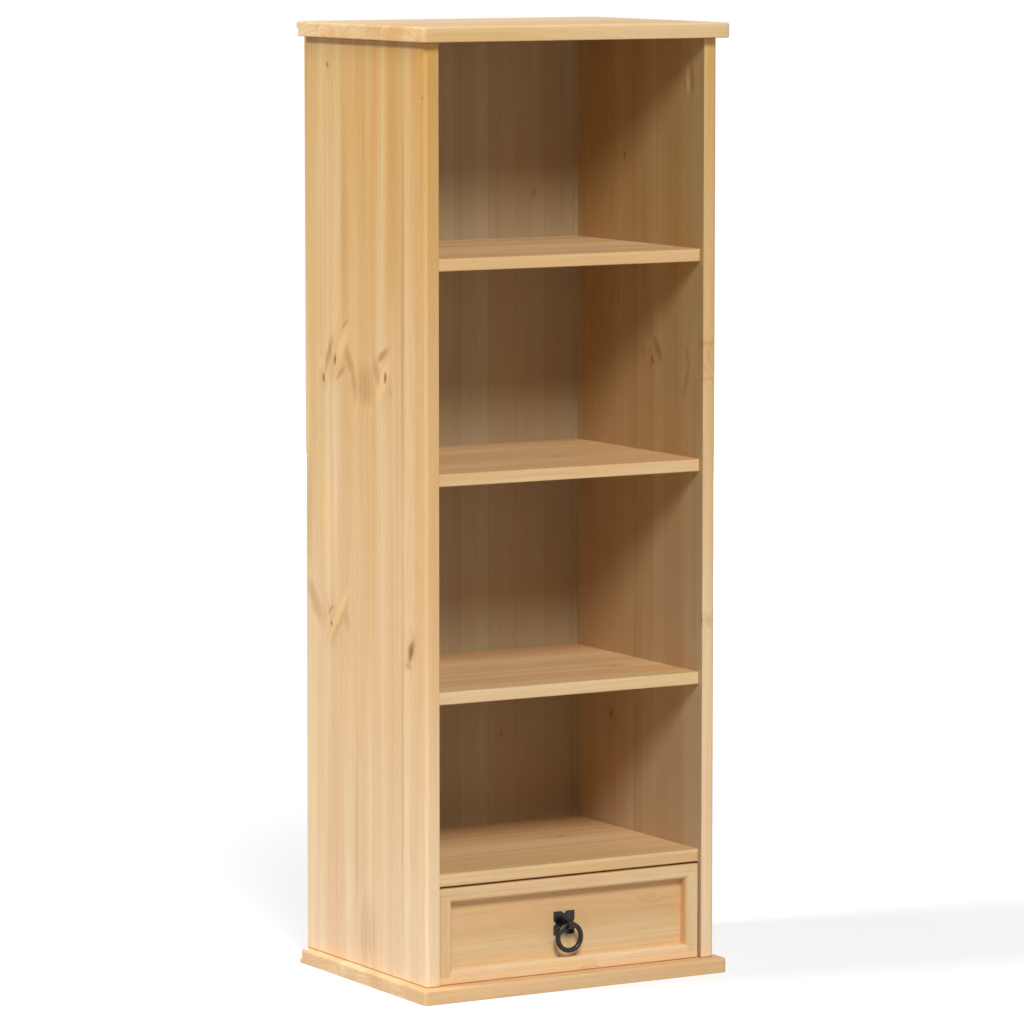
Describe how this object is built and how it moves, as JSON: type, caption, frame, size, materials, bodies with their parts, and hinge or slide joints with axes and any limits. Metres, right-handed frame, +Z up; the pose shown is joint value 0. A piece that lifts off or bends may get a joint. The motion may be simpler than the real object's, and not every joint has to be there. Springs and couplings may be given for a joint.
{
  "type": "disc storage cabinet",
  "caption": "Tall narrow free-standing pine cabinet for disc cases: open shelf compartments over a framed inset drawer with a black iron ring pull.",
  "frame": {"origin": "on the floor, under the middle of the base board's plan", "axes": "+X to the right, +Y to the back, +Z up; the open front and the drawer face -Y"},
  "size_m": [0.42, 0.313, 1.15],
  "materials": {
    "case_pine": "clear satin lacquer on solid pine",
    "shelf_pine": "clear satin lacquer on solid pine",
    "back_pine": "thin panel of edge-glued pine strips, clear satin lacquer",
    "drawer_front_pine": "clear satin lacquer on solid pine",
    "drawer_box_pine": "planed pine, unlacquered",
    "beech": "plain beech dowel",
    "bright_steel": "zinc-plated",
    "black_iron": "black, half gloss"
  },
  "bodies": {
    "cabinet": {"top_board": "case_pine", "base_board": "case_pine", "side_panel_left": "case_pine", "side_panel_right": "case_pine", "back_panel": "back_pine", "drawer_divider": "shelf_pine", "lower_shelf": "shelf_pine", "middle_shelf": "shelf_pine", "upper_shelf": "shelf_pine", "drawer_stops": "drawer_box_pine", "shelf_dowels": "beech", "top_dowels": "beech", "base_dowels": "beech", "base_screws": "bright_steel", "back_panel_nails": "bright_steel"},
    "drawer": {"drawer_front_board": "drawer_front_pine", "drawer_front_rail_top": "drawer_front_pine", "drawer_front_rail_bottom": "drawer_front_pine", "drawer_front_stile_left": "drawer_front_pine", "drawer_front_stile_right": "drawer_front_pine", "drawer_side_left": "drawer_box_pine", "drawer_side_right": "drawer_box_pine", "drawer_back": "drawer_box_pine", "drawer_bottom": "back_pine", "drawer_corner_pins": "bright_steel", "drawer_bottom_pins": "bright_steel", "pull_plate": "black_iron", "pull_eye": "black_iron", "pull_washer": "bright_steel", "pull_nut": "bright_steel"},
    "ring": {"pull_ring": "black_iron"}
  },
  "joints": [
    {"name": "drawer_slide", "type": "slide", "parent": "cabinet", "child": "drawer", "axis": [0, -1, 0], "range_m": [0, 0.2]},
    {"name": "ring_swing", "type": "hinge", "parent": "drawer", "child": "ring", "pos_m": [-0.002, -0.1391, 0.076], "axis": [-1, 0, 0], "range_deg": [-18, 198]}
  ]
}
